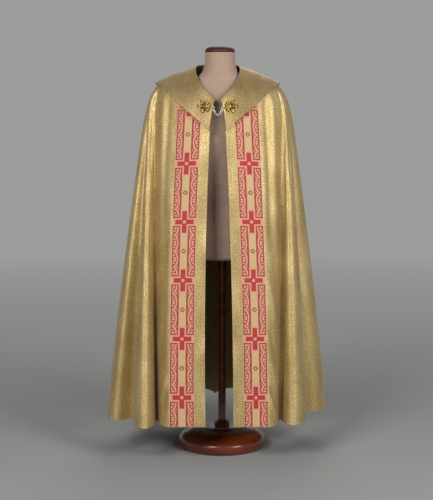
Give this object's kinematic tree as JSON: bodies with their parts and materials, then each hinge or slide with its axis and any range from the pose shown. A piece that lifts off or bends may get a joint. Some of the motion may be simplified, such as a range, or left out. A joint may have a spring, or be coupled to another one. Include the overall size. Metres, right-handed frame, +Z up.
{
  "type": "cope vestment on a dress form",
  "caption": "Gold lame brocade cope, open in front with figured orphreys, a wide flat collar and a clasp with chain, standing on a limbless dress form with a turned wooden base.",
  "frame": {"origin": "middle of the base's flat underside, on the floor", "axes": "+Z up; the vestment's open front faces -Y; +X is the wearer's left"},
  "size_m": [0.9084, 0.714, 1.644],
  "materials": {
    "gold_cloth": "gold lame brocade with fine mottled flecks and a satin sheen down its folds",
    "orphrey_weave": "figured band woven in red, pink and sandy gold, matt",
    "gilt_metal": "polished gilt filigree with dark bronze in its hollows",
    "silver_metal": "bright silvered wire",
    "jersey": "beige tan knitted jersey, matt",
    "mahogany": "red brown mahogany under gloss varnish"
  },
  "bodies": {
    "root": {"cope_body": "gold_cloth", "collar": "gold_cloth", "orphrey_right": "orphrey_weave", "orphrey_left": "orphrey_weave", "clasp_right": "gilt_metal", "clasp_left": "gilt_metal", "form_torso": "jersey", "form_neck_cap": "mahogany", "form_pole": "mahogany", "form_base": "mahogany", "chain_link_1": "silver_metal", "chain_link_2": "silver_metal", "chain_link_3": "silver_metal", "chain_link_4": "silver_metal", "chain_link_5": "silver_metal", "chain_link_6": "silver_metal", "chain_link_7": "silver_metal"}
  },
  "joints": []
}
